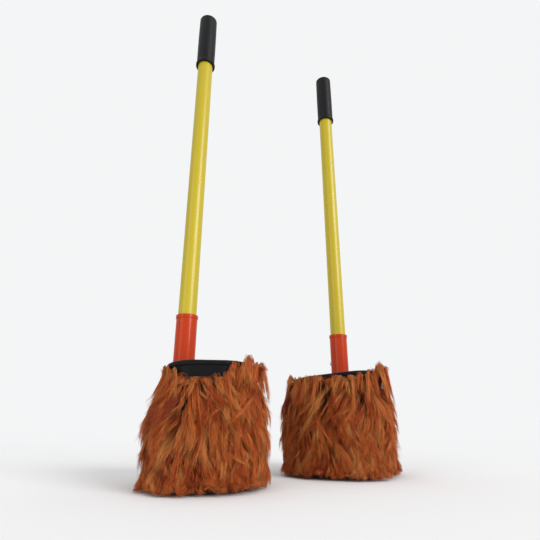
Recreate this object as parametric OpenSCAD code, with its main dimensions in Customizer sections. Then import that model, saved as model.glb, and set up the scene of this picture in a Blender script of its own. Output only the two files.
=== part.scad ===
// Pair of pole stilts with soft foam feet.
// A round pole stands in a moulded socket. The socket hangs under a foot deck, inside a foam block that
// carries the deck, and a long-pile fur sleeve goes round the foam. A sprung button locks the pole.
// Millimetres, Z up, the floor at zero. On each stilt the toe points to -Y and the pole stands on the
// outer side of the foot (+X here). The left stilt is the mirror image of the right one.

/* [Foot] */
// Width of the foam foot
foot_w = 138; // [120:1:170]
// Length of the foam foot, toe to heel
foot_l = 156; // [140:1:200]
// Corner radius of the foot in plan
foot_corner_r = 52; // [40:1:58]
// Height of the foam block
foam_h = 150; // [135:1:220]
// Thickness of the sole pad
sole_t = 8; // [6:0.5:14]
// Width of a tread groove in the sole
groove_w = 5; // [3:0.5:7]
// Depth of a tread groove in the sole
groove_d = 3; // [1:0.5:4]
// Number of tread grooves in the sole
groove_count = 9; // [3:1:12]

/* [Deck] */
// Thickness of the deck plate
deck_t = 8; // [7:0.5:12]
// Height of the deck rim at the toe
toe_rim_h = 17; // [12:0.5:22]
// Height of the deck rim at the heel
heel_rim_h = 4; // [2:0.5:6]
// Wall of the deck rim
rim_w = 5; // [4:0.5:7]
// Diameter of the rolled edge on the rim
roll_d = 9; // [8:0.5:12]
// Thickness of the ribbed pad on the deck
pad_t = 4; // [3:0.5:6]
// Depth of the channels between the pad's ribs
rib_d = 1.5; // [0.5:0.5:2]
// Number of channels across the pad
rib_count = 11; // [5:1:15]

/* [Socket] */
// Wall of the socket tube
socket_wall = 2; // [1.6:0.1:4]
// Height of the socket above the deck plate
socket_above = 102; // [80:1:130]
// Depth of the socket below the deck plate
socket_depth = 104; // [80:1:110]
// Thickness of the socket's floor
socket_floor_t = 8; // [6:0.5:12]
// Height of the bead at the socket's mouth
bead_h = 6; // [3:0.5:10]
// How far the bead stands out from the socket
bead_out = 1; // [0.5:0.1:1.5]
// Distance from the foam's outer side to the pole's axis
pole_inset = 24; // [23:0.5:30]
// Thickness of the flange under the deck
flange_t = 8; // [6:0.5:10]
// Length of the flange from the pole to its inner end
flange_l = 72; // [60:1:90]

/* [Pole] */
// Diameter of the pole
pole_d = 32; // [28:0.5:34]
// Wall of the pole
pole_wall = 2.2; // [1.5:0.1:3]
// Height of the pole above the deck plate
pole_above = 814; // [500:2:1000]

/* [Grip] */
// Wall of the handgrip
grip_wall = 3.5; // [3:0.5:6]
// Length of the handgrip
grip_l = 136; // [100:1:180]
// How far the collar at the grip's lower end stands out
collar_out = 1.6; // [0.5:0.1:3]
// Height of that collar
collar_h = 8; // [5:0.5:14]
// Height of the end cap's dome
dome_h = 7; // [4:0.5:12]

/* [Lock] */
// Diameter of the snap button
button_d = 8; // [6:0.5:9]
// How far the button stands out of the socket
button_proud = 2.6; // [1.5:0.1:3.5]
// Height of the button above the deck plate
button_above = 42; // [36:1:55]
// Width of the leaf spring
leaf_w = 8; // [6:0.5:10]
// Thickness of the leaf spring
leaf_t = 0.8; // [0.5:0.1:1]

/* [Fur] */
// Thickness of the pile at the foot's middle
fur_belly = 30; // [20:1:36]
// Thickness of the pile at the hem
fur_hem = 21; // [10:1:28]
// Thickness of the pile at the top edge
fur_top = 4; // [3:0.5:10]
// Height of the hem above the floor
hem_gap = 4; // [2:0.5:8]
// Depth of the waves between the pile's locks
lock_d = 4; // [0:0.5:6]
// Number of locks round the foot
lock_count = 16; // [8:1:21]

/* [Stance] */
// Sideways gap between the two fur sleeves
stance_gap = 46; // [10:1:80]
// How far the right stilt stands behind the left one
set_back = 70; // [0:1:200]
// Angle that the right stilt is turned out
right_toe_out = 55; // [0:1:80]
// Angle that the left stilt is turned out
left_toe_out = 6; // [0:1:80]

/* [Hidden] */
$fn = 96;

// Overrun of every cut
over = 1;
// Gap between fixed pieces
seat_gap = 0.1;
// Gap between pieces that slide
slide_gap = 0.2;
// Gap round soft pieces
soft_gap = 0.3;

// Inset of the deck from the foam's side
deck_inset = 1.2;
// Margin of the sole's tread from its edge
tread_margin = 14;
// How much tighter the rolled edge bends at a corner than the rim
roll_tuck = 2;
// Width of a channel between the pad's ribs
rib_w = 3;
// Margin of the pad's ribs from its edge
rib_margin = 6;
// Gap between the pad and what stands round it
pad_gap = 1;

// Levels of the stack
foam_top = sole_t + foam_h;
tread = foam_top + deck_t;

// Deck outline
deck_w = foot_w - 2 * deck_inset;
deck_l = foot_l - 2 * deck_inset;
deck_corner_r = foot_corner_r - deck_inset;
rim_slope = atan((toe_rim_h - heel_rim_h) / deck_l);
roll_r = roll_d / 2;
roll_in = roll_r - rim_w / 2;
pad_inset = rim_w + roll_in + pad_gap;

// Pole and socket
pole_offset = foot_w / 2 - pole_inset;
pole_r = pole_d / 2;
pole_bore_r = pole_r - pole_wall;
socket_bore_r = pole_r + slide_gap;
socket_r = socket_bore_r + socket_wall;
socket_foot = foam_top - socket_depth;
socket_top = tread + socket_above;
pole_foot = socket_foot + socket_floor_t;
pole_top = tread + pole_above;

// Flange and anchor plate
flange_lip = 2.6;
flange_r = socket_r + flange_lip;
flange_end_r = 8;
gusset_t = 4;
gusset_h = 34;
anchor_t = 4;
anchor_l = 84;

// Deck screws: four under the pad, in two rows across the flange
screw_d = 4;
screw_head_d = 8;
screw_head_h = 2.6;
screw_bite = 6;
screw_row = 26;
screw_inset = 10;
screw_xs = [pole_offset - socket_r - screw_inset, pole_offset - flange_l + screw_inset];

// Anchor screw, up into the socket's floor
anchor_screw_d = 6;
anchor_head_d = 12;
anchor_head_h = 4;
anchor_bite = 6;

// Handgrip and cap
grip_r = pole_r + grip_wall;
grip_foot = pole_top - grip_l;
grip_edge_r = 1.5;
cap_edge_h = 3;
cap_plug_l = 24;
cap_wall = 2.5;
dome_r = (grip_r * grip_r + dome_h * dome_h) / (2 * dome_h);

// Snap button, along the line from the pole's axis to the heel
button_r = button_d / 2;
button_lip = 1.5;
button_lip_t = 1.5;
button_lip_r = button_r + button_lip;
button_z = tread + button_above;
button_seat = sqrt(pole_bore_r * pole_bore_r - button_lip_r * button_lip_r) - slide_gap;
button_tip = socket_r + button_proud;
button_dome_h = 1.6;
button_dome_r = (button_r * button_r + button_dome_h * button_dome_h) / (2 * button_dome_h);

// Leaf spring: a U whose two legs lie behind the button and on the far wall
leaf_near = button_seat - button_lip_t;
leaf_far = sqrt(pole_bore_r * pole_bore_r - leaf_w * leaf_w / 4) - slide_gap;
leaf_bend_r = (leaf_near + leaf_far) / 2;
leaf_mid = (leaf_near - leaf_far) / 2;
leaf_drop = 34;
leaf_rise = 8;

// Fur sleeve: points round a quarter of the outline and rings up the height
arc_points = 9;
edge_points = 7;
fur_rings = 12;
belly_height_share = 0.5;
lock_lean = 40;
fur_top_over = 2;
fur_foot = hem_gap;
fur_head = foam_top + fur_top_over;
x_signs = [1, -1, -1, 1];
y_signs = [1, 1, -1, -1];

// Half extents of a turned foot over its fur, and the places of the two feet about the shared centre
function half_x(turn) = (foot_w / 2 - foot_corner_r) * abs(cos(turn))
    + (foot_l / 2 - foot_corner_r) * abs(sin(turn)) + foot_corner_r + fur_belly;
function half_y(turn) = (foot_w / 2 - foot_corner_r) * abs(sin(turn))
    + (foot_l / 2 - foot_corner_r) * abs(cos(turn)) + foot_corner_r + fur_belly;
stance_w = half_x(left_toe_out) + stance_gap + half_x(right_toe_out);
left_x = (half_x(left_toe_out) - half_x(right_toe_out) - stance_w) / 2;
right_x = left_x + stance_w;
left_y = (half_y(left_toe_out) - half_y(right_toe_out) - set_back) / 2;
right_y = left_y + set_back;

module right_stilt() {
    translate([right_x, right_y, 0]) rotate(right_toe_out) children();
}

module left_stilt() {
    translate([left_x, left_y, 0]) rotate(-left_toe_out) mirror([1, 0, 0]) children();
}

// Rounded rectangle in plan
module plan(w, l, r) {
    square([w - 2 * r, l], center = true);
    square([w, l - 2 * r], center = true);
    for (x = [-1, 1], y = [-1, 1])
        translate([x * (w / 2 - r), y * (l / 2 - r)]) circle(r);
}

// Plate outline round the pole with a tongue that runs to the foot's inner side
module tongue(r, l, end_r) {
    translate([pole_offset, 0]) circle(r);
    translate([pole_offset - l + end_r, -r]) square([l - end_r, 2 * r]);
    translate([pole_offset - l, -r + end_r]) square([l, 2 * (r - end_r)]);
    for (y = [-1, 1])
        translate([pole_offset - l + end_r, y * (r - end_r)]) circle(end_r);
}

// Upright cylinder on the pole's axis
module on_axis(r, foot, head) {
    translate([pole_offset, 0, foot]) cylinder(h = head - foot, r = r);
}

// Turns a profile in radius and height about the pole's axis
module turned() {
    translate([pole_offset, 0, 0]) rotate_extrude() children();
}

// Places of the deck screws
module at_screws(z) {
    for (x = screw_xs, y = [-1, 1])
        translate([x, y * screw_row / 2, z]) children();
}

// Line of the snap button, with height along the heel direction
module on_button() {
    translate([pole_offset, 0, button_z]) rotate([-90, 0, 0]) children();
}

// Triangular rib between the socket and the underside of its flange
module gusset(gap) {
    reach = flange_l - flange_end_r;
    translate([pole_offset, gusset_t / 2 + gap, foam_top - flange_t])
        rotate([90, 0, 0])
            linear_extrude(gusset_t + 2 * gap)
                polygon([[0, 0], [-reach - gap, 0], [-reach - gap, -gap], [-socket_r - gap, -gusset_h - gap],
                         [0, -gusset_h - gap]]);
}

module sole_pad() {
    pitch = (foot_l - 2 * tread_margin) / groove_count;
    color("#202022") difference() {
        linear_extrude(sole_t) plan(foot_w, foot_l, foot_corner_r);
        intersection() {
            translate([0, 0, -over])
                linear_extrude(groove_d + over)
                    plan(foot_w - 2 * tread_margin, foot_l - 2 * tread_margin, foot_corner_r - tread_margin);
            for (i = [0 : groove_count - 1])
                translate([-foot_w / 2, tread_margin - foot_l / 2 + (i + 1 / 2) * pitch - groove_w / 2, -over])
                    cube([foot_w, groove_w, groove_d + over]);
        }
    }
}

module foam_foot() {
    color("#d9cfb4") difference() {
        translate([0, 0, sole_t]) linear_extrude(foam_h) plan(foot_w, foot_l, foot_corner_r);
        on_axis(socket_r + soft_gap, socket_foot - anchor_t, foam_top + over);
        translate([0, 0, foam_top - flange_t - soft_gap])
            linear_extrude(flange_t + soft_gap + over)
                tongue(flange_r + soft_gap, flange_l + soft_gap, flange_end_r + soft_gap);
        gusset(soft_gap);
        translate([0, 0, socket_foot - anchor_t - soft_gap])
            linear_extrude(anchor_t + 2 * soft_gap)
                tongue(flange_r + soft_gap, anchor_l + soft_gap, flange_end_r + soft_gap);
        on_axis(anchor_head_d / 2 + soft_gap, socket_foot - anchor_t - anchor_head_h - soft_gap, socket_foot);
    }
}

// Point i of the corner in quarter q, at an offset from the foot's outline
function arc_point(q, i, off) = let (a = 90 * (q + i / (arc_points - 1)))
    [x_signs[q] * (foot_w / 2 - foot_corner_r) + (foot_corner_r + off) * cos(a),
     y_signs[q] * (foot_l / 2 - foot_corner_r) + (foot_corner_r + off) * sin(a)];

// Point k of a quarter: its corner first, then the straight edge that follows it
function quarter_point(q, k, off) = k < arc_points ? arc_point(q, k, off)
    : let (t = (k - arc_points + 1) / (edge_points + 1))
      arc_point(q, arc_points - 1, off) * (1 - t) + arc_point((q + 1) % 4, 0, off) * t;

// Thickness of the pile at a share of the sleeve's height
function pile(u) = u < belly_height_share
    ? fur_hem + (fur_belly - fur_hem) * sin(90 * u / belly_height_share)
    : fur_top + (fur_belly - fur_top) * cos(90 * (u - belly_height_share) / (1 - belly_height_share));

// Waves between the locks, none at the top edge
function lock(u, s) = lock_d * (1 - u) * (1 - cos(360 * lock_count * s + lock_lean * u)) / 2;

// The fur sleeve as a closed band of rings: up the outside, over the top edge and down the inside
module fur_cover() {
    quarter = arc_points + edge_points;
    round_count = 4 * quarter;
    inner = (foot_corner_r + soft_gap) / cos(45 / (arc_points - 1)) - foot_corner_r;
    outer_rings = [for (j = [0 : fur_rings]) let (u = j / fur_rings)
        [for (q = [0 : 3], k = [0 : quarter - 1])
            let (p = quarter_point(q, k, pile(u) - lock(u, (q * quarter + k) / round_count)))
            [p.x, p.y, fur_foot + u * (fur_head - fur_foot)]]];
    inner_rings = [for (z = [fur_head, fur_foot])
        [for (q = [0 : 3], k = [0 : quarter - 1]) let (p = quarter_point(q, k, inner)) [p.x, p.y, z]]];
    rings = concat(outer_rings, inner_rings);
    color("#96501f") polyhedron(
        points = [for (ring = rings) each ring],
        faces = [for (j = [0 : len(rings) - 1], i = [0 : round_count - 1])
            let (a = j * round_count, b = (j + 1) % len(rings) * round_count, n = (i + 1) % round_count)
            each [[a + i, b + i, b + n], [a + i, b + n, a + n]]]);
}

// The plane of the rim's rolled edge, which falls from the toe to the heel
module on_rim() {
    translate([0, -deck_l / 2, tread + toe_rim_h - roll_r])
        rotate([-rim_slope, 0, 0])
            translate([0, deck_l / 2, 0]) children();
}

// Round bar along the deck's outline: a bent bar at each corner and a straight one along each side
module rolled_edge() {
    bend_r = deck_corner_r - rim_w / 2 - roll_tuck;
    side_x = deck_w / 2 - deck_corner_r + roll_tuck;
    side_y = deck_l / 2 - deck_corner_r + roll_tuck;
    for (q = [0 : 3])
        translate([x_signs[q] * side_x, y_signs[q] * side_y, 0])
            rotate(90 * q) rotate_extrude(angle = 90) translate([bend_r, 0]) circle(roll_r);
    for (x = [-1, 1])
        translate([x * (side_x + bend_r), -side_y, 0]) rotate([-90, 0, 0]) cylinder(h = 2 * side_y, r = roll_r);
    for (y = [-1, 1])
        translate([-side_x, y * (side_y + bend_r), 0]) rotate([0, 90, 0]) cylinder(h = 2 * side_x, r = roll_r);
}

module foot_deck() {
    color("#1c1c1e") difference() {
        union() {
            difference() {
                translate([0, 0, foam_top])
                    linear_extrude(deck_t + toe_rim_h) plan(deck_w, deck_l, deck_corner_r);
                translate([0, 0, tread])
                    linear_extrude(toe_rim_h + over)
                        plan(deck_w - 2 * rim_w, deck_l - 2 * rim_w, deck_corner_r - rim_w);
                on_rim() translate([-deck_w, -deck_l, 0]) cube([2 * deck_w, 2 * deck_l, toe_rim_h + deck_t]);
            }
            on_rim() rolled_edge();
        }
        on_axis(socket_r + seat_gap, foam_top - over, tread + toe_rim_h + over);
        at_screws(foam_top - over) cylinder(h = deck_t + 2 * over, d = screw_d + 2 * seat_gap);
        at_screws(tread - screw_head_h) cylinder(h = screw_head_h + over, d = screw_head_d + 2 * seat_gap);
    }
}

// Outline of the pad: the deck's floor on the inner side of the socket
module pad_plan(inset) {
    shrink = pad_inset + inset;
    intersection() {
        plan(deck_w - 2 * shrink, deck_l - 2 * shrink, deck_corner_r - shrink);
        translate([-deck_w, -deck_l / 2])
            square([deck_w + pole_offset - socket_r - pad_gap - inset, deck_l]);
    }
}

module deck_pad() {
    pitch = (deck_l - 2 * (pad_inset + rib_margin)) / rib_count;
    color("#2b2b2e") difference() {
        translate([0, 0, tread]) linear_extrude(pad_t) pad_plan(0);
        intersection() {
            translate([0, 0, tread + pad_t - rib_d]) linear_extrude(rib_d + over) pad_plan(rib_margin);
            for (i = [0 : rib_count - 1])
                translate([-deck_w / 2, (i + 1 / 2 - rib_count / 2) * pitch - rib_w / 2, tread + pad_t - rib_d])
                    cube([deck_w, rib_w, rib_d + over]);
        }
    }
}

module deck_screws() {
    color("silver") {
        at_screws(tread - screw_head_h) cylinder(h = screw_head_h, d = screw_head_d);
        at_screws(foam_top - screw_bite) cylinder(h = screw_bite + deck_t - screw_head_h, d = screw_d);
    }
}

module pole_socket() {
    color("#d2431c") difference() {
        union() {
            turned() {
                translate([0, socket_foot]) square([socket_r, socket_top - socket_foot]);
                translate([0, socket_top - bead_h]) square([socket_r + bead_out, bead_h - bead_out]);
                translate([0, socket_top - bead_out]) square([socket_r, bead_out]);
                translate([socket_r, socket_top - bead_out]) circle(bead_out);
            }
            translate([0, 0, foam_top - flange_t]) linear_extrude(flange_t) tongue(flange_r, flange_l, flange_end_r);
            gusset(0);
        }
        on_axis(socket_bore_r, pole_foot, socket_top + over);
        on_axis(anchor_screw_d / 2 + seat_gap, socket_foot - over, socket_foot + anchor_bite + seat_gap);
        at_screws(foam_top - screw_bite - seat_gap) cylinder(h = screw_bite + over, d = screw_d + 2 * seat_gap);
        on_button() cylinder(h = socket_r + bead_out, r = button_r + slide_gap);
    }
}

module anchor_plate() {
    color("#9aa0a6") difference() {
        translate([0, 0, socket_foot - anchor_t]) linear_extrude(anchor_t) tongue(flange_r, anchor_l, flange_end_r);
        on_axis(anchor_screw_d / 2 + seat_gap, socket_foot - anchor_t - over, socket_foot + over);
    }
}

module anchor_screw() {
    color("silver") {
        on_axis(anchor_head_d / 2, socket_foot - anchor_t - anchor_head_h, socket_foot - anchor_t);
        on_axis(anchor_screw_d / 2, socket_foot - anchor_t, socket_foot + anchor_bite);
    }
}

module pole() {
    color("#e3cb2f") difference() {
        on_axis(pole_r, pole_foot, pole_top);
        on_axis(pole_bore_r, pole_foot - over, pole_top + over);
        on_button() cylinder(h = socket_r, r = button_r + slide_gap);
    }
}

// Grip profile: a sleeve with rounded ends and a collar at its foot
module grip() {
    color("#19191b") difference() {
        turned() {
            translate([0, grip_foot + grip_edge_r]) square([grip_r + collar_out, collar_h - 2 * grip_edge_r]);
            translate([0, grip_foot]) square([grip_r + collar_out - grip_edge_r, collar_h]);
            for (z = [grip_foot + grip_edge_r, grip_foot + collar_h - grip_edge_r])
                translate([grip_r + collar_out - grip_edge_r, z]) circle(grip_edge_r);
            translate([0, grip_foot + grip_edge_r]) square([grip_r, grip_l - 2 * grip_edge_r]);
            translate([0, pole_top - 2 * grip_edge_r]) square([grip_r - grip_edge_r, 2 * grip_edge_r]);
            translate([grip_r - grip_edge_r, pole_top - grip_edge_r]) circle(grip_edge_r);
        }
        on_axis(pole_r + seat_gap, grip_foot - over, pole_top + over);
    }
}

module grip_cap() {
    color("#161618") difference() {
        turned() {
            translate([0, pole_top]) square([grip_r, cap_edge_h]);
            intersection() {
                translate([0, pole_top + cap_edge_h + dome_h - dome_r]) circle(dome_r);
                translate([0, pole_top + cap_edge_h]) square([grip_r, dome_h]);
            }
            translate([0, pole_top - cap_plug_l]) square([pole_bore_r - seat_gap, cap_plug_l]);
        }
        on_axis(pole_bore_r - seat_gap - cap_wall, pole_top - cap_plug_l - over, pole_top);
    }
}

module snap_button() {
    color("silver") on_button() rotate_extrude() {
        translate([0, leaf_near]) square([button_lip_r, button_lip_t]);
        translate([0, leaf_near]) square([button_r, button_tip - button_dome_h - leaf_near]);
        intersection() {
            translate([0, button_tip - button_dome_r]) circle(button_dome_r);
            translate([0, button_tip - button_dome_r]) square([button_r, button_dome_r]);
        }
    }
}

// Side view of the spring: across the pole, then up it
module clip_spring() {
    color("#b8bcc0")
        translate([pole_offset - leaf_w / 2, 0, button_z])
            rotate([90, 0, 90])
                linear_extrude(leaf_w) {
                    translate([leaf_near - leaf_t, -leaf_drop]) square([leaf_t, leaf_drop + leaf_rise]);
                    translate([-leaf_far, -leaf_drop]) square([leaf_t, leaf_drop + leaf_rise]);
                    translate([leaf_mid, -leaf_drop]) difference() {
                        circle(leaf_bend_r);
                        circle(leaf_bend_r - leaf_t);
                        translate([-leaf_bend_r, 0]) square([2 * leaf_bend_r, leaf_bend_r]);
                    }
                }
}

right_stilt() sole_pad();  // right_sole_pad
right_stilt() foam_foot();  // right_foam_foot
right_stilt() fur_cover();  // right_fur_cover
right_stilt() foot_deck();  // right_foot_deck
right_stilt() deck_pad();  // right_deck_pad
right_stilt() deck_screws();  // right_deck_screws
right_stilt() pole_socket();  // right_pole_socket
right_stilt() anchor_plate();  // right_anchor_plate
right_stilt() anchor_screw();  // right_anchor_screw
right_stilt() pole();  // right_pole
right_stilt() grip();  // right_grip
right_stilt() grip_cap();  // right_grip_cap
right_stilt() snap_button();  // right_snap_button
right_stilt() clip_spring();  // right_clip_spring
left_stilt() sole_pad();  // left_sole_pad
left_stilt() foam_foot();  // left_foam_foot
left_stilt() fur_cover();  // left_fur_cover
left_stilt() foot_deck();  // left_foot_deck
left_stilt() deck_pad();  // left_deck_pad
left_stilt() deck_screws();  // left_deck_screws
left_stilt() pole_socket();  // left_pole_socket
left_stilt() anchor_plate();  // left_anchor_plate
left_stilt() anchor_screw();  // left_anchor_screw
left_stilt() pole();  // left_pole
left_stilt() grip();  // left_grip
left_stilt() grip_cap();  // left_grip_cap
left_stilt() snap_button();  // left_snap_button
left_stilt() clip_spring();  // left_clip_spring
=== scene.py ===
"""Looks of a pair of pole stilts whose foam feet wear a sleeve of long pile.

Each stilt has a painted pole with a foam grip, a moulded socket and deck, and a foam foot in a sleeve of
long pile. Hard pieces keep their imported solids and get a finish. The sleeves with their pile, the grips
and the springs are made here as surfaces of two parameters, and the foam as a softened copy of its solid.
Lengths are metres, Z is up, the floor is at zero.
"""

from __future__ import annotations

import logging
from collections.abc import Iterator
from dataclasses import dataclass, field
from enum import Enum
from typing import ClassVar

import bpy
import numpy as np
from mathutils import Matrix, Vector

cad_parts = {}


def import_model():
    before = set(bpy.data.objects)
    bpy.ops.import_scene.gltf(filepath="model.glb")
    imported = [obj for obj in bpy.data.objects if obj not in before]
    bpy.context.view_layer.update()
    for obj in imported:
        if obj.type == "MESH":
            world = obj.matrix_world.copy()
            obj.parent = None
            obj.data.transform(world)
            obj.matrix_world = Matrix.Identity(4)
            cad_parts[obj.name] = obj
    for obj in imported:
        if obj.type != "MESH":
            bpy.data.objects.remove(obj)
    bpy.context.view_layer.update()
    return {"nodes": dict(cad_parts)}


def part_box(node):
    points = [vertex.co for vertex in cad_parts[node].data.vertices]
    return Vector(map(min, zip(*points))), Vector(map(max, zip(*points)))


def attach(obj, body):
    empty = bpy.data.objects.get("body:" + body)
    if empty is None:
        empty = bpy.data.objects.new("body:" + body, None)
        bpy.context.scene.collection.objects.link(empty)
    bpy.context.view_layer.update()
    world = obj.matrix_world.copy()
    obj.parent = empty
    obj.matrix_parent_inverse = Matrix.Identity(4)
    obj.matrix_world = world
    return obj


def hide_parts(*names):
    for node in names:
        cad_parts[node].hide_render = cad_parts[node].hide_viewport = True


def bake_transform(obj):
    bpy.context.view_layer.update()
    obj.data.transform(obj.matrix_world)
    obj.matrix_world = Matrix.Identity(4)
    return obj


LOG = logging.getLogger("stilts")
MM = 1e-3
UP = np.array([0.0, 0.0, 1.0])
TURN = 2 * np.pi
FRAME_PIXELS = 540
SENSOR_WIDTH = 36.0

# Sockets of a Mix node that work on colours: share, first and second, and the result
MIX_INPUTS = (0, 6, 7)
MIX_RESULT = 2
# Range that holds most of a soft noise
MOST = (0.3, 0.7)

# The pile's map, its columns of tone, its bands from the hem up, and the girth of a hair from root to tip
PILE_MAP = "OFBake"
PILE_TONES = 32
PILE_BANDS = ("hem_pile", "lower_pile", "upper_pile", "crown_pile")
TAPER = ((0.0, 0.25, 0.5, 0.75, 1.0), (0.8, 1.0, 0.85, 0.5, 0.2))

Array = np.ndarray
Material = bpy.types.Material
Piece = bpy.types.Object
Socket = bpy.types.NodeSocket
Range = tuple[float, float]
Triple = tuple[float, float, float]
Colour = Triple
Stops = tuple[tuple[float, Colour], ...]


class Side(Enum):
    """The two stilts of the pair, by the word that starts the names of their pieces."""

    RIGHT = "right"
    LEFT = "left"

    def named(self, piece: str) -> str:
        """Full name of one of this stilt's pieces."""
        return f"{self.value}_{piece}"


# Finishes


class Shader:
    """One material's nodes, with short calls that add and join them."""

    def __init__(self, name: str) -> None:
        """Starts a material with its surface node.

        Args:
            name: The material's name.
        """
        self.material = bpy.data.materials.new(name)
        self.material.use_nodes = True
        self.tree = self.material.node_tree
        self.surface = next(n for n in self.tree.nodes if n.type == "BSDF_PRINCIPLED")

    def put(self, socket: Socket, value: object) -> None:
        """Gives a socket a link if the value is another socket, and a constant otherwise.

        Args:
            socket: The input.
            value: An output socket, a number, or three numbers of a colour.
        """
        if isinstance(value, Socket):
            self.tree.links.new(value, socket)
        elif socket.type == "RGBA" and len(value) == 3:
            socket.default_value = (*value, 1.0)
        else:
            socket.default_value = value

    def add(self, kind: str, inputs: dict[str, object], **settings: object) -> bpy.types.Node:
        """Adds one node.

        Args:
            kind: The node's type.
            inputs: Values or links by socket name.
            settings: The node's own options.

        Returns:
            The new node.
        """
        node = self.tree.nodes.new(kind)
        for key, value in settings.items():
            setattr(node, key, value)
        for key, value in inputs.items():
            self.put(node.inputs[key], value)
        return node

    def dress(self, **inputs: object) -> None:
        """Sets the surface's own sockets by name, with underscores for the spaces in their names."""
        for key, value in inputs.items():
            self.put(self.surface.inputs[key.replace("_", " ")], value)

    def place(self, scale: Triple = (1.0, 1.0, 1.0)) -> Socket:
        """Object coordinates, stretched by a factor along each axis."""
        coords = self.add("ShaderNodeTexCoord", {}).outputs["Object"]
        return self.add("ShaderNodeMapping", {"Vector": coords, "Scale": scale}).outputs["Vector"]

    def noise(self, vector: Socket, grain: float, detail: float = 3.0) -> Socket:
        """Soft noise with blots of one size in metres, and some finer layers on them."""
        node = self.add("ShaderNodeTexNoise", {"Vector": vector, "Scale": 1.0 / grain, "Detail": detail})
        return node.outputs["Fac"]

    def spread(self, value: Socket, source: Range, target: Range) -> Socket:
        """Maps a value from a source range to a target range and clamps it."""
        node = self.add("ShaderNodeMapRange", {
            "Value": value, "From Min": source[0], "From Max": source[1],
            "To Min": target[0], "To Max": target[1]})
        return node.outputs["Result"]

    def ramp(self, value: Socket, stops: Stops) -> Socket:
        """Colours a value.

        Args:
            value: Position on the ramp.
            stops: Positions with their colours, in order.

        Returns:
            The colour.
        """
        node = self.add("ShaderNodeValToRGB", {"Fac": value})
        elements = node.color_ramp.elements
        while len(elements) < len(stops):
            elements.new(0.5)
        for element, (position, colour) in zip(elements, stops):
            element.position = position
            element.color = (*colour, 1.0)
        return node.outputs["Color"]

    def mix(self, share: object, first: object, second: object, blend: str = "MIX") -> Socket:
        """Mixes two colours.

        Args:
            share: How much of the second is used.
            first: The base colour.
            second: The colour laid over it.
            blend: Blender's name for the way of mixing.

        Returns:
            The mixed colour.
        """
        node = self.add("ShaderNodeMix", {}, data_type="RGBA", blend_type=blend)
        for number, value in zip(MIX_INPUTS, (share, first, second)):
            self.put(node.inputs[number], value)
        return node.outputs[MIX_RESULT]

    def bump(self, height: Socket, depth: float, strength: float) -> Socket:
        """Turns a height from 0 to 1 into a normal, by its real depth in metres and a share of the effect."""
        inputs = {"Height": height, "Distance": depth, "Strength": strength}
        return self.add("ShaderNodeBump", inputs).outputs["Normal"]


@dataclass(frozen=True)
class Moulded:
    """Moulded plastic or rubber: a fine grain, cloudy gloss and a faint shift of colour.

    Attributes:
        name: The finish's name.
        colour: Main colour.
        worn: Colour of rubbed places.
        gloss: Lowest and highest roughness.
        grain: Size of the mould's grain.
        depth: Depth of the grain.
        coat: Share of a clear skin on top.
        streaks: Stretch of the cloudiness along Z, 1 for none.
        gleam: Strength of the plain reflection, 0.5 for common plastic.
    """

    name: str
    colour: Colour
    worn: Colour
    gloss: Range
    grain: float = 0.7 * MM
    depth: float = 0.05 * MM
    coat: float = 0.0
    streaks: float = 1.0
    gleam: float = 0.5

    def build(self) -> Material:
        """Makes the material.

        Returns:
            The material.
        """
        s = Shader(self.name)
        cloud = s.noise(s.place((1.0, 1.0, self.streaks)), 9 * MM, detail=4.0)
        grain = s.noise(s.place(), self.grain, detail=2.0)
        rubbed = s.spread(cloud, (0.5, 0.8), (0.0, 0.55))
        s.dress(
            Base_Color=s.mix(rubbed, self.colour, self.worn),
            Roughness=s.spread(cloud, MOST, self.gloss),
            Normal=s.bump(grain, self.depth, strength=0.6),
            Specular_IOR_Level=self.gleam, Coat_Weight=self.coat, Coat_Roughness=0.06)
        return s.material


@dataclass(frozen=True)
class TubePaint:
    """Glossy paint on a tube: a slight orange peel and faint clouds drawn out along the tube."""

    name: str = "pole_paint"
    colour: Colour = (0.52, 0.40, 0.007)
    pale: Colour = (0.56, 0.44, 0.010)
    scuff: Colour = (0.42, 0.32, 0.010)

    def build(self) -> Material:
        """Makes the material.

        Returns:
            The material.
        """
        s = Shader(self.name)
        streak = s.noise(s.place((1.0, 1.0, 0.02)), 14 * MM, detail=1.0)
        cloud = s.noise(s.place((1.0, 1.0, 0.2)), 30 * MM, detail=2.0)
        peel = s.noise(s.place(), 3.5 * MM, detail=0.0)
        base = s.mix(s.spread(streak, (0.35, 0.7), (0.0, 1.0)), self.colour, self.pale)
        s.dress(
            Base_Color=s.mix(s.spread(cloud, (0.55, 0.8), (0.0, 0.3)), base, self.scuff),
            Roughness=s.spread(cloud, (0.35, 0.75), (0.32, 0.40)),
            Normal=s.bump(peel, 0.01 * MM, strength=0.15),
            Specular_IOR_Level=0.42, Coat_Weight=0.22, Coat_Roughness=0.12)
        return s.material


@dataclass(frozen=True)
class Steel:
    """Plated steel with a fine brushed grain."""

    name: str = "plated_steel"
    colour: Colour = (0.62, 0.63, 0.65)
    tarnish: Colour = (0.42, 0.42, 0.43)

    def build(self) -> Material:
        """Makes the material.

        Returns:
            The material.
        """
        s = Shader(self.name)
        brush = s.noise(s.place((1.0, 0.08, 1.0)), 0.4 * MM, detail=2.0)
        cloud = s.noise(s.place(), 3 * MM)
        s.dress(
            Base_Color=s.mix(s.spread(cloud, (0.45, 0.75), (0.0, 0.7)), self.colour, self.tarnish),
            Metallic=1.0,
            Roughness=s.spread(brush, MOST, (0.24, 0.42)),
            Normal=s.bump(brush, 0.01 * MM, strength=0.4))
        return s.material


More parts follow.
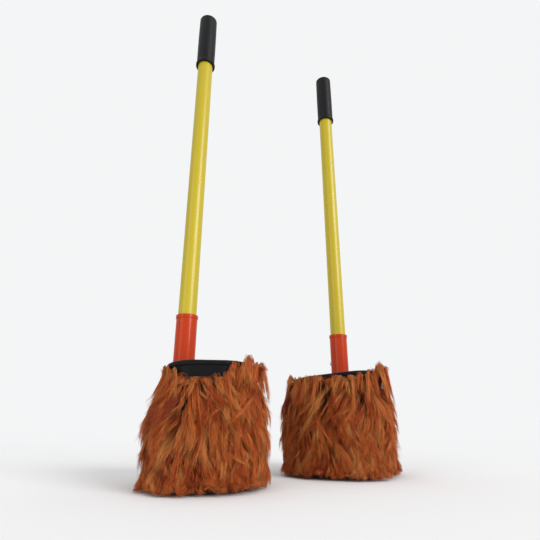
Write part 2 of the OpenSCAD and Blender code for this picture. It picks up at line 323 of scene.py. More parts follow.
@dataclass(frozen=True)
class CellFoam:
    """Closed-cell foam: a skin of tiny pits, darker inside as painted shade."""

    name: str
    colour: Colour
    pit: Colour
    cell: float
    depth: float
    roughness: Range = (0.72, 0.9)
    gleam: float = 0.4

    def build(self) -> Material:
        """Makes the material.

        Returns:
            The material.
        """
        s = Shader(self.name)
        cells = s.add("ShaderNodeTexVoronoi", {"Vector": s.place(), "Scale": 1.0 / self.cell})
        pits = cells.outputs["Distance"]
        cloud = s.noise(s.place(), 11 * MM)
        s.dress(
            # The pits' centres take the darker colour: painted shade in the hollows.
            Base_Color=s.mix(s.spread(pits, (0.1, 0.6), (0.0, 1.0)), self.pit, self.colour),
            Roughness=s.spread(cloud, MOST, self.roughness),
            Normal=s.bump(pits, self.depth, strength=0.7), Specular_IOR_Level=self.gleam)
        return s.material


@dataclass(frozen=True)
class Knit:
    """Knitted backing of the pile: rows of small loops along the sleeve's own map, with painted shade between
    the rows.
    """

    name: str = "pile_backing"
    colour: Colour = (0.11, 0.032, 0.012)
    # Painted shade for the hollows between the rows of loops.
    gap: Colour = (0.035, 0.011, 0.005)
    loops: float = 260.0

    def build(self) -> Material:
        """Makes the material.

        Returns:
            The material.
        """
        s = Shader(self.name)
        place = s.add("ShaderNodeUVMap", {}, uv_map=PILE_MAP).outputs["UV"]
        rows = s.add("ShaderNodeTexWave", {
            "Vector": place, "Scale": self.loops, "Distortion": 2.0, "Detail": 1.0},
            bands_direction="DIAGONAL").outputs["Fac"]
        s.dress(
            # Where the rows dip, the gap colour paints shade.
            Base_Color=s.mix(rows, self.gap, self.colour),
            Roughness=0.9,
            Normal=s.bump(rows, 0.4 * MM, strength=0.6))
        return s.material


@dataclass(frozen=True)
class PileHair:
    """Long pile in tones from auburn to straw, each hair darkened towards its root by painted shade.

    The hairs' map holds the tone across and the way from root to tip upwards.
    """

    name: str = "long_pile"
    tones: Stops = (
        (0.00, (0.220, 0.024, 0.004)),
        (0.30, (0.520, 0.068, 0.008)),
        (0.60, (0.760, 0.150, 0.019)),
        (0.85, (0.860, 0.300, 0.060)),
        (1.00, (0.920, 0.460, 0.140)))
    # Painted shade: a factor that darkens each hair towards its root, strongest at the root and almost none
    # at the tip.
    along: Stops = (
        (0.00, (0.13, 0.10, 0.10)),
        (0.30, (0.44, 0.38, 0.36)),
        (0.65, (0.83, 0.75, 0.72)),
        (1.00, (0.92, 0.88, 0.86)))

    def build(self) -> Material:
        """Makes the material.

        Returns:
            The material.
        """
        s = Shader(self.name)
        place = s.add("ShaderNodeUVMap", {}, uv_map=PILE_MAP).outputs["UV"]
        split = s.add("ShaderNodeSeparateXYZ", {"Vector": place})
        tone = s.ramp(split.outputs["X"], self.tones)
        # depth is the painted shade along each hair, darkest at the root.
        depth = s.ramp(split.outputs["Y"], self.along)
        s.dress(
            Base_Color=s.mix(1.0, tone, depth, "MULTIPLY"),
            Roughness=0.46, Specular_IOR_Level=0.28,
            Sheen_Weight=0.15, Sheen_Roughness=0.45, Sheen_Tint=(1.0, 0.62, 0.32))
        return s.material


@dataclass(frozen=True)
class Backdrop:
    """Pale matt paper for the floor."""

    name: str = "pale_paper"
    colour: Colour = (0.955, 0.955, 0.95)

    def build(self) -> Material:
        """Makes the material.

        Returns:
            The material.
        """
        s = Shader(self.name)
        s.dress(Base_Color=self.colour, Roughness=1.0, Specular_IOR_Level=0.0)
        return s.material


Finish = Moulded | TubePaint | Steel | CellFoam | Knit | PileHair


def made(finish: Finish) -> Material:
    """Default of a dataclass field: this finish's material, made with each instance."""
    return field(default_factory=finish.build)


@dataclass
class Finishes:
    """The finishes of the pair, built once and shared by both stilts."""

    black_rubber: Material = made(Moulded(
        "sole_rubber", (0.020, 0.020, 0.021), (0.055, 0.052, 0.048), (0.6, 0.82),
        grain=0.9 * MM, depth=0.09 * MM))
    black_plastic: Material = made(Moulded(
        "deck_plastic", (0.005, 0.005, 0.006), (0.012, 0.012, 0.013), (0.36, 0.52),
        grain=0.6 * MM, gleam=0.14))
    pad_rubber: Material = made(Moulded(
        "pad_rubber", (0.026, 0.026, 0.028), (0.062, 0.060, 0.058), (0.62, 0.85),
        grain=0.8 * MM, depth=0.08 * MM))
    orange_plastic: Material = made(Moulded(
        "socket_plastic", (0.51, 0.039, 0.003), (0.54, 0.049, 0.004), (0.16, 0.26),
        grain=1.6 * MM, depth=0.01 * MM, coat=0.16, streaks=0.08, gleam=0.18))
    grey_plastic: Material = made(Moulded(
        "anchor_plastic", (0.30, 0.31, 0.32), (0.38, 0.38, 0.38), (0.42, 0.6)))
    cap_plastic: Material = made(Moulded(
        "cap_plastic", (0.007, 0.007, 0.008), (0.018, 0.018, 0.019), (0.30, 0.46), gleam=0.25))
    yellow_plastic: Material = made(TubePaint())
    steel: Material = made(Steel())
    foam: Material = made(CellFoam(
        "foot_foam", (0.36, 0.30, 0.20), (0.22, 0.18, 0.11), cell=1.4 * MM, depth=0.25 * MM))
    grip_foam: Material = made(CellFoam(
        "grip_foam", (0.007, 0.007, 0.008), (0.003, 0.003, 0.004), cell=0.9 * MM, depth=0.05 * MM,
        roughness=(0.36, 0.5), gleam=0.2))
    backing: Material = made(Knit())
    brown_fur: Material = made(PileHair())


# Surfaces


def add_object(name: str, data: bpy.types.ID) -> Piece:
    """Adds an object to the scene, at the origin.

    Args:
        name: Its name.
        data: The mesh, light or camera that it holds.

    Returns:
        The object.
    """
    obj = bpy.data.objects.new(name, data)
    bpy.context.scene.collection.objects.link(obj)
    return obj


def column(items: bpy.types.bpy_prop_collection, name: str, kind: type, width: int = 1) -> Array:
    """Reads one property of all the items of a mesh.

    Args:
        items: Vertices, loops or polygons.
        name: The property.
        kind: Type of its numbers.
        width: How many numbers an item has.

    Returns:
        The numbers in one row.
    """
    values = np.empty(width * len(items), kind)
    items.foreach_get(name, values)
    return values


def unit(vectors: Array) -> Array:
    """Vectors of length one along these, whose x, y, z are in the last axis."""
    return vectors / np.maximum(np.linalg.norm(vectors, axis=-1, keepdims=True), 1e-12)


@dataclass
class Surface:
    """A mesh as whole arrays.

    Attributes:
        points: One row of x, y, z for each vertex.
        faces: Blocks of faces, each with one number of corners.
        uv: One row for each corner of each face in order, or None.
    """

    points: Array
    faces: list[Array]
    uv: Array | None = None

    def to_object(self, name: str, material: Material, flip: bool = False) -> Piece:
        """Puts the arrays into a new object at the origin.

        Args:
            name: The object's name.
            material: Its finish.
            flip: True turns the faces round, for a mirrored shape.

        Returns:
            The object.
        """
        blocks = [block[:, ::-1] if flip else block for block in self.faces]
        corners = np.concatenate([block.ravel() for block in blocks])
        sizes = np.concatenate([np.full(len(block), block.shape[1]) for block in blocks])
        starts = np.concatenate([[0], np.cumsum(sizes)[:-1]])
        mesh = bpy.data.meshes.new(name)
        mesh.vertices.add(len(self.points))
        mesh.vertices.foreach_set("co", self.points.astype(np.float32).ravel())
        mesh.loops.add(len(corners))
        mesh.loops.foreach_set("vertex_index", corners.astype(np.int32))
        mesh.polygons.add(len(starts))
        mesh.polygons.foreach_set("loop_start", starts.astype(np.int32))
        mesh.polygons.foreach_set("use_smooth", np.ones(len(starts), bool))
        if self.uv is not None:
            first = np.repeat(starts, sizes)
            step = np.arange(len(corners)) - first
            source = first + (np.repeat(sizes, sizes) - 1 - step if flip else step)
            layer = mesh.uv_layers.new(name=PILE_MAP)
            layer.data.foreach_set("uv", self.uv[source].astype(np.float32).ravel())
        mesh.update(calc_edges=True)
        mesh.validate()
        mesh.materials.append(material)
        return add_object(name, mesh)


def band_faces(rows: int, columns: int, closed: bool) -> Array:
    """Quads between the rings of a grid whose columns run round and meet.

    Args:
        rows: Number of rings.
        columns: Points on each ring, counter-clockwise from above.
        closed: True joins the last ring to the first.

    Returns:
        Four vertex numbers a row, facing outwards where the rings go up.
    """
    j, i = np.meshgrid(np.arange(rows if closed else rows - 1), np.arange(columns), indexing="ij")
    here, above, right = j * columns, (j + 1) % rows * columns, (i + 1) % columns
    return np.stack([here + i, here + right, above + right, above + i], axis=-1).reshape(-1, 4)


@dataclass(frozen=True)
class Stance:
    """Where one stilt stands: its own axes in the shared frame.

    Attributes:
        centre: Middle of the foot on the floor.
        outward: Unit vector from the foot's middle to the pole.
        heel: Unit vector from the toe to the heel.
        reach: Distance from the foot's middle to the pole's axis.
    """

    centre: Array
    outward: Array
    heel: Array
    reach: float

    @classmethod
    def of(cls, side: Side) -> "Stance":
        """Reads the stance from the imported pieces.

        Args:
            side: The stilt.

        Returns:
            Its stance.
        """
        flat = np.array([1.0, 1.0, 0.0])
        foot = np.mean(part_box(side.named("sole_pad")), axis=0) * flat
        pole = np.mean(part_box(side.named("grip_cap")), axis=0) * flat
        reach = float(np.linalg.norm(pole - foot))
        outward = (pole - foot) / reach
        turn = 1.0 if side is Side.RIGHT else -1.0
        return cls(foot, outward, turn * np.cross(UP, outward), reach)

    @property
    def mirrored(self) -> bool:
        """True where the stilt's own axes are left-handed."""
        return float(np.cross(self.outward, self.heel)[2]) < 0

    def placed(self, own: Array) -> Array:
        """Takes points from the stilt's own axes to the shared frame: centre + x outward + y heel + z up."""
        return self.centre + own @ np.stack([self.outward, self.heel, UP])


@dataclass(frozen=True)
class FootOutline:
    """Rounded rectangle of the foot in plan, walked counter-clockwise from the toe end of the pole's side.

    The walk has a core point and a heading: on a straight edge the core moves and the heading rests, on a
    corner the core rests and the heading turns. A point at an offset is the core plus the corner radius
    and the offset along the heading.

    Attributes:
        width: Across the foot.
        length: Toe to heel.
        corner: Corner radius.
        pile: Offset at which steps of the walk are even.
    """

    width: float = 138 * MM
    length: float = 156 * MM
    corner: float = 52 * MM
    pile: float = 16 * MM

    def walk(self) -> tuple[Array, Array, float]:
        """Key points of the walk.

        Returns:
            Shares of the way at the nine keys, rows of core x, core y and heading there, and the way's
            length.
        """
        x, y = self.width / 2 - self.corner, self.length / 2 - self.corner
        cores = np.array([(x, -y), (x, y), (x, y), (-x, y), (-x, y), (-x, -y), (-x, -y), (x, -y), (x, -y)])
        headings = np.pi / 2 * np.array([0, 0, 1, 1, 2, 2, 3, 3, 4])
        bend = np.pi / 2 * (self.corner + self.pile)
        steps = np.array([2 * y, bend, 2 * x, bend] * 2)
        way = np.concatenate([[0.0], np.cumsum(steps)])
        return way / way[-1], np.column_stack([cores, headings]), float(way[-1])

    @property
    def girth(self) -> float:
        """Length of the way round."""
        return self.walk()[2]

    def heading(self, share: Array) -> Array:
        """Heading of the outward direction at shares of the way round, in radians."""
        keys, rows, _ = self.walk()
        return np.interp(share % 1.0, keys, rows[:, 2])

    def point(self, share: Array, offset: Array, height: Array) -> Array:
        """Points at an offset from the outline.

        Args:
            share: Share of the way round, any shape.
            offset: Distance outwards from the foam.
            height: Height above the floor.

        Returns:
            x, y, z in the last axis.
        """
        keys, rows, _ = self.walk()
        core = [np.interp(share % 1.0, keys, rows[:, k]) for k in range(3)]
        radius = self.corner + offset
        return np.stack(np.broadcast_arrays(
            core[0] + radius * np.cos(core[2]), core[1] + radius * np.sin(core[2]), height), axis=-1)


# Soft pieces


@dataclass
class FoamFoot:
    """The foam block: a copy of its solid with soft edges and sides that crown a little.

    Attributes:
        side: The stilt.
        stance: Where it stands.
        outline: The foot in plan.
        weld: Distance within which the solid's points are merged.
        voxel: Grain of the softened copy.
        easing: Share of the way that a point moves in a round of smoothing.
        rounds: Rounds of smoothing.
        skirt: Depth of the layer at the sides that swells.
        crown: How far the sides swell at half height.
        inset: How far they stay inside the solid before they swell.
    """

    side: Side
    stance: Stance
    outline: FootOutline
    weld: float = 0.01 * MM
    voxel: float = 4 * MM
    easing: float = 0.5
    rounds: int = 3
    skirt: float = 6 * MM
    crown: float = 1.2 * MM
    inset: float = 0.6 * MM

    def soft_copy(self, node: Piece) -> Surface:
        """Copies the solid as an even net of quads, which rounds its edges to about the net's grain.

        Args:
            node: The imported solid.

        Returns:
            The net.
        """
        helper = add_object("foam_copy", node.data.copy())
        weld = helper.modifiers.new("weld", "WELD")
        weld.merge_threshold = self.weld
        net = helper.modifiers.new("net", "REMESH")
        net.mode = "VOXEL"
        net.voxel_size = self.voxel
        soft = helper.modifiers.new("soft", "SMOOTH")
        soft.factor, soft.iterations = self.easing, self.rounds
        evaluated = helper.evaluated_get(bpy.context.evaluated_depsgraph_get())
        mesh = bpy.data.meshes.new_from_object(evaluated)
        points = column(mesh.vertices, "co", np.float32, 3)
        corners = column(mesh.loops, "vertex_index", np.int32)
        sizes = column(mesh.polygons, "loop_total", np.int32)
        starts = np.concatenate([[0], np.cumsum(sizes)[:-1]])
        blocks = [corners[starts[sizes == k][:, None] + np.arange(k)] for k in (3, 4) if (sizes == k).any()]
        bpy.data.objects.remove(helper)
        bpy.data.meshes.remove(mesh)
        return Surface(points.reshape(-1, 3).astype(float), blocks)

    def build(self, finishes: Finishes) -> Piece:
        """Makes the foam: points near the sides move outwards by the crown times a half sine of the height.

        Args:
            finishes: The finishes.

        Returns:
            The padded piece.
        """
        name = self.side.named("foam_foot")
        low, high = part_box(name)
        net = self.soft_copy(bpy.data.objects[name])
        away = net.points - self.stance.centre
        own = np.column_stack([away @ self.stance.outward, away @ self.stance.heel])
        inner = np.array([self.outline.width, self.outline.length]) / 2 - self.outline.corner
        out = own - np.clip(own, -inner, inner)
        distance = np.linalg.norm(out, axis=1)
        heading = out / np.maximum(distance, 1e-9)[:, None]
        near = np.clip((distance - self.outline.corner) / self.skirt + 1.0, 0.0, 1.0)
        rise = np.clip((net.points[:, 2] - low[2]) / (high[2] - low[2]), 0.0, 1.0)
        swell = self.crown * near * np.sin(np.pi * rise) - self.inset * near
        net.points[:, :2] += (swell[:, None] * heading) @ np.stack(
            [self.stance.outward[:2], self.stance.heel[:2]])
        piece = net.to_object(self.side.named("foam_block"), finishes.foam)
        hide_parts(name)
        return piece


@dataclass(frozen=True)
class Lay:
    """How the pile lies on one stilt.

    Attributes:
        seed: Start of the random draws.
        edge: Rows of heading in degrees, how far the top edge stands above the sleeve there, and the pile's
            reach there, both in millimetres.
        splayed: Rows of bearing in degrees and strength of the tufts that lie out on the floor at the hem.
        bell: Width of such a tuft in degrees.
    """

    seed: int
    edge: tuple[Triple, ...]
    splayed: tuple[Range, ...]
    bell: float = 9.0

    def along_edge(self, heading: Array, measure: int) -> Array:
        """One measure of the top edge at headings in radians, in metres."""
        rows = np.array(self.edge) * (1.0, MM, MM)
        return np.interp(np.degrees(heading) % 360.0, rows[:, 0], rows[:, measure], period=360.0)

    def crest(self, heading: Array) -> Array:
        """How far the top edge stands above the sleeve at headings in radians, in metres."""
        return self.along_edge(heading, 1)

    def reach(self, heading: Array) -> Array:
        """Reach of the pile at the top edge at headings in radians, in metres."""
        return self.along_edge(heading, 2)

    def splay(self, bearing: Array) -> Array:
        """How much the hem's locks lie out: the sum of a bell curve at each splayed tuft.

        Args:
            bearing: Bearings from the foot's middle in radians.

        Returns:
            Strength at each bearing.
        """
        rows = np.array(self.splayed)
        apart = (np.degrees(bearing)[:, None] - rows[None, :, 0] + 180.0) % 360.0 - 180.0
        return np.sum(rows[:, 1] * np.exp(-(apart / self.bell) ** 2), axis=1)


LAYS = {
    Side.LEFT: Lay(
        seed=11,
        edge=((0, 15, 6), (30, 15, 9), (90, 18, 16), (150, 21, 20), (180, 22, 21), (205, 25, 21),
              (225, 29, 20), (240, 26, 15), (250, 16, 9), (259, 6, 7), (268, -3, 6), (280, -7, 6),
              (294, -4, 5), (308, 3, 5), (322, 9, 5), (338, 14, 5)),
        splayed=((336, 1.0), (308, 0.5), (204, 0.7), (140, 0.6), (40, 0.6))),
    Side.RIGHT: Lay(
        seed=23,
        edge=((0, 12, 6), (60, 17, 12), (110, 19, 17), (140, 10, 17), (165, 9, 17), (190, 12, 17),
              (212, 15, 17), (226, 15, 16), (240, 35, 20), (285, 33, 20), (330, 13, 8)),
        splayed=((122, 1.0), (232, 0.5), (285, 0.6), (20, 0.6)))}


@dataclass
class Locks:
    """Locks of the pile as columns of numbers, one row a lock.

    Attributes:
        share: Share of the way round the foot at the root.
        height: Height of the root.
        fall: How far the lock hangs down.
        lean: Sideways way for each unit of fall.
        lift: How far out it lies, as a share of the pile's reach.
        rise: How far it stands up before it falls.
        arch: How much of a half sine that rise follows.
        gather: Sideways way of its tip to its tuft.
        field: Size of the field that its hairs start over.
        bow: How soon it leaves the backing.
        curl: How far its tip turns outwards.
        wave: Size of its sideways wave.
        phase: Start of that wave.
        tone: Place on the ramp of tones.
    """

    share: Array
    height: Array
    fall: Array
    lean: Array
    lift: Array
    rise: Array
    arch: Array
    gather: Array
    field: Array
    bow: Array
    curl: Array
    wave: Array
    phase: Array
    tone: Array

    def __len__(self) -> int:
        """Number of locks."""
        return len(self.share)

    @classmethod
    def of(cls, **columns: Array) -> "Locks":
        """Locks of these columns, with zeros in those that aren't given."""
        blank = np.zeros(len(columns["share"]))
        return cls(*(columns.get(name, blank) for name in cls.__dataclass_fields__))

    def taken(self, rows: Array) -> "Locks":
        """The locks with these numbers, repeats allowed, in columns of the shape that the numbers have."""
        return Locks(*(getattr(self, name)[rows] for name in self.__dataclass_fields__))


@dataclass(frozen=True)
class Strand:
    """How the hairs of one kind of lock grow.

    Attributes:
        hairs: Hairs in each lock.
        loose: Share of hairs that leave their lock.
        girth: Common radius of a hair where it is thickest.
        closing: Least and most that the hairs of a lock close up to its tip.
        free_closing: The same for a hair that leaves its lock.
        rings: Rings of each hair.
        spot: Half the width and half the height of the field that a lock's hairs start over.
        layer: Spread of the hairs' reach.
        bend: Spread of their sideways bend.
        crimp: Spread of their waviness.
        uneven: Spread of their length, as a share of it.
        shade: Spread of their tone.
        stout: Least and most of the common radius that a hair has.
        free_bend: How many times more a hair bends that leaves its lock.
        free_crimp: How many times wavier it is.
        free_shade: How much paler it is, as painted light shining through it.
    """

    hairs: int
    loose: float = 0.15
    girth: float = 0.34 * MM
    closing: Range = (0.68, 0.92)
    free_closing: float = 0.35
    rings: int = 4
    spot: Range = (5.2 * MM, 6.5 * MM)
    layer: float = 1.5 * MM
    bend: float = 1.6 * MM
    crimp: float = 0.8 * MM
    uneven: float = 0.09
    shade: float = 0.13
    stout: Range = (0.75, 1.2)
    free_bend: float = 3.5
    free_crimp: float = 2.0
    free_shade: float = 0.26


@dataclass
class FurSleeve:
    """The sleeve round the foam: a knitted backing and the long pile on it.

    Attributes:
        side: The stilt.
        stance: Where it stands.
        outline: The foot in plan.
        lay: How the pile lies.
        hem: Height of the sleeve's hem.
        head: Height of its top edge.
        cloth: Thickness of the backing.
        gap: Gap between the backing and the foam.
        tuck: How far the backing draws in at its top edge.
        tuck_height: Height over which it does so.
        pile_hem: Reach of the pile at the hem.
        pile_belly: Reach of the pile at half height.
        ground: Lowest height of a hair.
        rooted: How deep the hairs start in the backing.
        rows: Rows of locks up the sleeve.
        row_locks: Locks in a row.
        tufts: Tufts that the locks gather in.
        gather: Share of the way to its tuft's line that a lock's tip goes.
        fall: How far a lock hangs down.
        stray: Share of locks that stand out from the rest.
        upright: Share of the top edge's locks that stay up.
        under_locks: Locks of the undercoat.
        wisps: Small tufts that stand out past the rest.
        coat: Hairs of the main locks.
        fringe: Hairs of the top edge.
        under: Hairs of the undercoat.
        wisp: Hairs of the small tufts.
    """

    side: Side
    stance: Stance
    outline: FootOutline
    lay: Lay
    hem: float = 5 * MM
    head: float = 157.5 * MM
    cloth: float = 1.2 * MM
    gap: float = 1.2 * MM
    tuck: float = 0.8 * MM
    tuck_height: float = 8 * MM
    pile_hem: float = 19 * MM
    pile_belly: float = 26 * MM
    ground: float = 1.2 * MM
    rooted: float = 0.4 * MM
    rows: int = 16
    row_locks: int = 84
    tufts: int = 230
    gather: float = 0.48
    fall: float = 56 * MM
    stray: float = 0.2
    upright: float = 0.35
    under_locks: int = 300
    wisps: int = 440
    coat: Strand = Strand(23)
    fringe: Strand = Strand(20, 0.18, closing=(0.3, 0.75), rings=6)
    under: Strand = Strand(10, 0.2, 0.42 * MM)
    wisp: Strand = Strand(6, 0.15, 0.3 * MM)

    def backing(self) -> Surface:
        """The knitted tube: rings up the outside, then down the inside, joined at both ends.

        Returns:
            The closed surface with its map, the way round across and the height upwards.
        """
        columns, levels = 160, 22
        height = np.linspace(self.hem, self.head, levels)
        drawn = np.clip((height - (self.head - self.tuck_height)) / self.tuck_height, 0.0, 1.0)
        inside = self.gap - self.tuck * drawn
        rings = np.concatenate([
            np.column_stack([inside + self.cloth, height]), np.column_stack([inside, height])[::-1]])
        share = np.arange(columns) / columns
        points = self.outline.point(share[None, :], rings[:, :1], rings[:, 1:])
        faces = band_faces(2 * levels, columns, True)
        span = np.concatenate([share, [1.0]])
        i = np.tile(np.arange(columns), 2 * levels)
        j = np.repeat(np.arange(2 * levels), columns)
        up = rings[:, 1] / self.head
        low, high = up[j], up[(j + 1) % (2 * levels)]
        corners = ((span[i], low), (span[i + 1], low), (span[i + 1], high), (span[i], high))
        uv = np.stack([np.stack(corner, -1) for corner in corners], axis=1)
        return Surface(self.stance.placed(points.reshape(-1, 3)), [faces], uv.reshape(-1, 2))

    def reach(self, share: Array, height: Array) -> Array:
        """Reach of the pile: a quarter sine from hem to belly and a quarter cosine on to the top edge.

        Args:
            share: Share of the way round.
            height: Height above the floor.

        Returns:
            Distance outwards from the foam.
        """
        head = self.lay.reach(self.outline.heading(share))
        up = np.clip(height / (self.head + 2 * MM), 0.0, 1.0)
        below = self.pile_hem + (self.pile_belly - self.pile_hem) * np.sin(np.pi * np.minimum(up, 0.5))
        above = head + (self.pile_belly - head) * np.cos(np.pi * (up - 0.5))
        return np.where(up < 0.5, below, above)

    def drift(self, waves: Array, share: Array, height: Array) -> Array:
        """Sideways lean of the pile: locks run towards the four corners, and slow waves turn them.

        It is a sine with one period for each quarter of the way round, plus the sum of the waves' sines,
        which grows in a straight line from the floor to the top edge.

        Args:
            waves: Rows of turns round the foot, climb, phase and size, one row a wave.
            share: Share of the way round.
            height: Height above the floor.

        Returns:
            Sideways way for each unit of fall, counter-clockwise positive.
        """
        keys, _, _ = self.outline.walk()
        up = (height / self.head)[..., None]
        angle = TURN * (waves[:, 0] * share[..., None] + waves[:, 1] * up) + waves[:, 2]
        turned = (waves[:, 3] * np.sin(angle)).sum(axis=-1)
        cornered = 0.16 * np.sin(4 * TURN * (share - keys[1] / 2))
        return cornered + (0.55 + 0.75 * up[..., 0]) * turned

    def make_waves(self, rng: np.random.Generator) -> Array:
        """Slow waves of the lay.

        Args:
            rng: Random draws.

        Returns:
            Rows of turns round the foot, climb, phase and size.
        """
        turns = np.array([2.0, 3.0, 4.0, 5.0, 7.0, 9.0, 12.0, 15.0])
        count = len(turns)
        size = 0.22 * rng.uniform(0.5, 1.2, count)
        return np.column_stack([turns, rng.normal(0.5, 0.9, count), rng.uniform(0, TURN, count), size])

    def make_locks(self, rng: np.random.Generator, waves: Array) -> Locks:
        """Spreads the locks in staggered rows from the hem to the top edge, and gathers them in tufts.

        Each lock belongs to the nearest of some scattered tufts. Half of its lean and lift is the tuft's,
        and its tip is drawn towards the tuft's line, so dark partings open between the tufts.

        Args:
            rng: Random draws.
            waves: Slow waves of the lay.

        Returns:
            The locks, hem row first.
        """
        row, place = np.meshgrid(np.arange(self.rows), np.arange(self.row_locks), indexing="ij")
        row, place = row.ravel(), place.ravel()
        count = len(row)
        share = (place + 0.5 * (row % 2) + rng.uniform(-0.45, 0.45, count)) / self.row_locks
        lowest, highest = self.hem + 9 * MM, self.head - 3 * MM
        height = lowest + (highest - lowest) * row / (self.rows - 1) + rng.normal(0.0, 3.0 * MM, count)
        height = np.clip(height, self.hem + 3 * MM, highest)
        heart = np.column_stack([
            rng.uniform(0.0, 1.0, self.tufts), rng.uniform(self.hem, self.head, self.tufts)])
        aside = (heart[None, :, 0] - share[:, None] + 0.5) % 1.0 - 0.5
        apart = np.hypot(aside * self.outline.girth, 0.55 * (heart[None, :, 1] - height[:, None]))
        nearest = apart.argmin(axis=1)
        tuft_lean = self.drift(waves, heart[:, 0], heart[:, 1]) + rng.normal(0.0, 0.22, self.tufts)
        tuft_lift = rng.normal(0.95, 0.10, self.tufts)
        tuft_tone = rng.normal(0.56, 0.16, self.tufts)
        length = self.fall * rng.uniform(0.62, 1.2, count)
        spot = self.outline.point(share, self.outline.pile, height)
        splay = self.lay.splay(np.arctan2(spot[:, 1], spot[:, 0]))
        tuft_stop = rng.uniform(0.0, 9 * MM, self.tufts)
        above = tuft_stop[nearest] + 8 * MM * rng.uniform(0.0, 1.0, count) ** 2
        stop = 2 * MM + above * (1 - np.minimum(splay, 1.0))
        fall = np.minimum(length, np.maximum(height - stop, 4 * MM))
        spare = 1.0 - fall / length
        stray = rng.uniform(0.0, 1.0, count) < self.stray
        splay = splay * np.clip(1.3 - height / (45 * MM), 0.0, 1.0)
        own_lean = self.drift(waves, share, height) + rng.normal(0.0, 0.24, count)
        return Locks.of(
            share=share, height=height, fall=fall,
            lean=0.5 * tuft_lean[nearest] + 0.5 * own_lean,
            lift=0.5 * tuft_lift[nearest] + 0.5 * rng.normal(0.94, 0.10, count) + 0.22 * spare
            + np.where(stray, rng.uniform(0.06, 0.28, count), 0.0) + splay * rng.uniform(0.1, 0.9, count),
            gather=self.gather * aside[np.arange(count), nearest] * self.outline.girth,
            field=np.clip(rng.lognormal(0.0, 0.3, count), 0.6, 1.7),
            bow=rng.uniform(1.3, 2.6, count), curl=rng.normal(0.0, 2.2 * MM, count),
            wave=rng.normal(0.0, 3.2 * MM, count), phase=rng.uniform(0.0, TURN, count),
            tone=np.clip(tuft_tone[nearest] + rng.normal(0.0, 0.11, count), 0.05, 0.95))

    def make_fringe(self, rng: np.random.Generator, waves: Array) -> Locks:
        """Locks that stand up and out beside the deck's rim before they fall.

        Args:
            rng: Random draws.
            waves: Slow waves of the lay.

        Returns:
            The locks of the top edge.
        """
        count = 2 * self.row_locks
        share = (np.arange(count) + rng.uniform(-0.8, 0.8, count)) / count
        height = self.head - rng.uniform(1 * MM, 10 * MM, count)
        upright = rng.uniform(0.0, 1.0, count) < self.upright
        arch = np.where(upright, rng.uniform(0.45, 0.7, count), rng.uniform(0.8, 1.0, count))
        fall = np.where(upright, rng.uniform(3 * MM, 14 * MM, count), rng.uniform(18 * MM, 48 * MM, count))
        crest = self.lay.crest(self.outline.heading(share)) + rng.uniform(-12 * MM, 1.5 * MM, count)
        return Locks.of(
            share=share, height=height, fall=fall,
            lean=1.2 * self.drift(waves, share, height) + rng.normal(0.0, 0.36, count),
            lift=rng.uniform(0.8, 1.25, count),
            rise=np.maximum(self.head + crest - height + fall * np.minimum(0.45 / arch, 1.0) ** 1.25, 0.0),
            arch=arch, field=rng.uniform(0.8, 1.4, count),
            bow=rng.uniform(1.2, 2.2, count), curl=rng.normal(0.0, 2.0 * MM, count),
            wave=rng.normal(0.0, 2.5 * MM, count), phase=rng.uniform(0.0, TURN, count),
            tone=np.clip(rng.normal(0.62, 0.13, count), 0.05, 0.95))

    def make_undercoat(self, rng: np.random.Generator) -> Locks:
        """Short dark locks close to the backing, which fill the partings between the long ones.

        Args:
            rng: Random draws.

        Returns:
            The locks.
        """
        count = self.under_locks
        height = rng.uniform(self.hem + 6 * MM, self.head - 2 * MM, count)
        return Locks.of(
            share=rng.uniform(0.0, 1.0, count), height=height,
            fall=np.minimum(rng.uniform(22 * MM, 34 * MM, count), height - 2 * MM),
            lean=rng.normal(0.0, 0.3, count), lift=rng.uniform(0.35, 0.62, count),
            field=np.ones(count), bow=np.full(count, 2.0),
            wave=rng.normal(0.0, 1.0 * MM, count), phase=rng.uniform(0.0, TURN, count),
            tone=np.clip(rng.normal(0.24, 0.1, count), 0.02, 0.6))

    def make_wisps(self, rng: np.random.Generator, waves: Array) -> Locks:
        """Small tufts that stand out past the rest all over the sleeve, pale as painted light shining through
        them.

        Args:
            rng: Random draws.
            waves: Slow waves of the lay.

        Returns:
            The locks.
        """
        count = self.wisps
        share = rng.uniform(0.0, 1.0, count)
        height = rng.uniform(self.hem + 12 * MM, self.head - 12 * MM, count)
        return Locks.of(
            share=share, height=height,
            fall=np.minimum(rng.uniform(14 * MM, 36 * MM, count), height - 4 * MM),
            lean=self.drift(waves, share, height) + rng.normal(0.0, 0.4, count),
            lift=rng.uniform(1.08, 1.36, count), field=rng.uniform(0.6, 1.0, count),
            bow=rng.uniform(1.0, 1.5, count), curl=rng.normal(0.0, 1.5 * MM, count),
            wave=rng.normal(0.0, 2.5 * MM, count), phase=rng.uniform(0.0, TURN, count),
            # Their pale tones are painted light shining through the tufts.
            tone=np.clip(rng.normal(0.74, 0.1, count), 0.3, 0.95))

